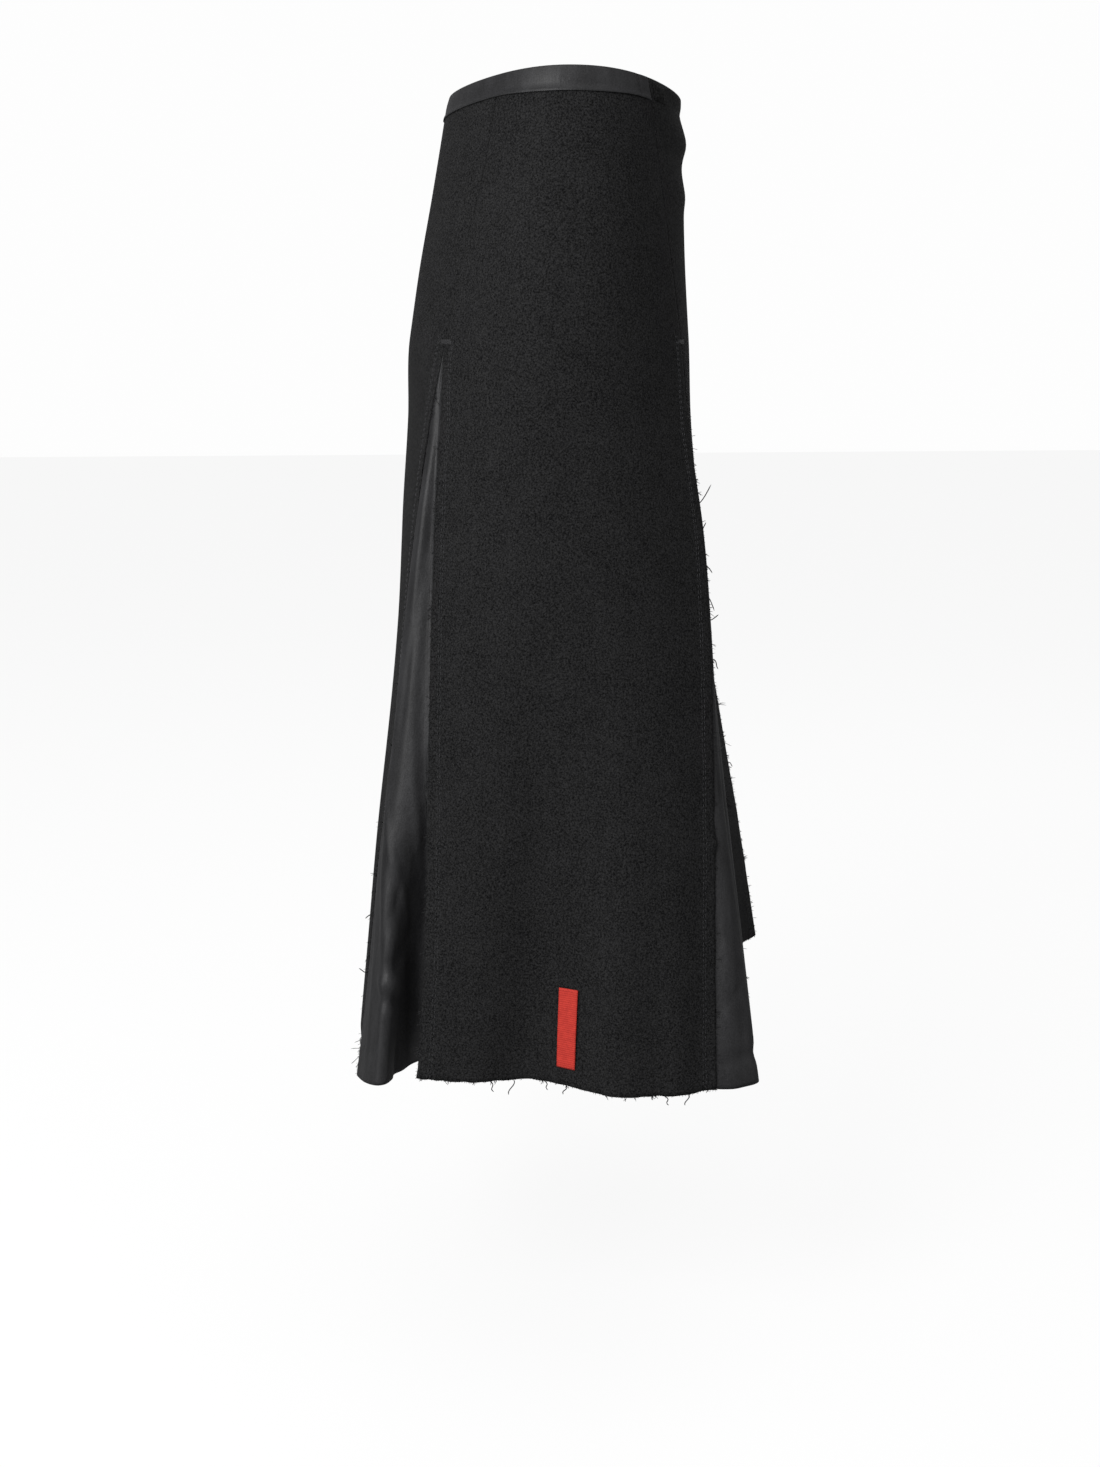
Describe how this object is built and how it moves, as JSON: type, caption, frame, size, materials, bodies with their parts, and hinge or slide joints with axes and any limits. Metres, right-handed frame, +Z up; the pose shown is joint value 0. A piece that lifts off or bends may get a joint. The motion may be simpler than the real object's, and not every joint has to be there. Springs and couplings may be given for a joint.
{
  "type": "a-line midi skirt",
  "caption": "Gored A-line midi skirt: wool panels with raw edges over nylon godets, narrow nylon waistband, worn form, open at waist and hem.",
  "frame": {"origin": "middle of the waist, level with the top edge of the waistband at the sides", "axes": "+Z up along the wearer, -Y to the wearer's front, -X to the wearer's right"},
  "size_m": [0.5258, 0.3827, 0.793],
  "materials": {
    "wool": "black wool melton, matt, lightly felted, raw cut edges that fray",
    "nylon": "black plain-weave nylon with a low silky sheen",
    "ribbon": "red ribbed grosgrain ribbon, matt"
  },
  "bodies": {
    "root": {"waistband": "nylon", "front_panel": "wool", "side_panel_left": "wool", "back_panel": "wool", "side_panel_right": "wool", "godet_front_left": "nylon", "godet_back_left": "nylon", "godet_back_right": "nylon", "godet_front_right": "nylon", "closing_tab": "wool", "ribbon_tab": "ribbon"}
  },
  "joints": []
}
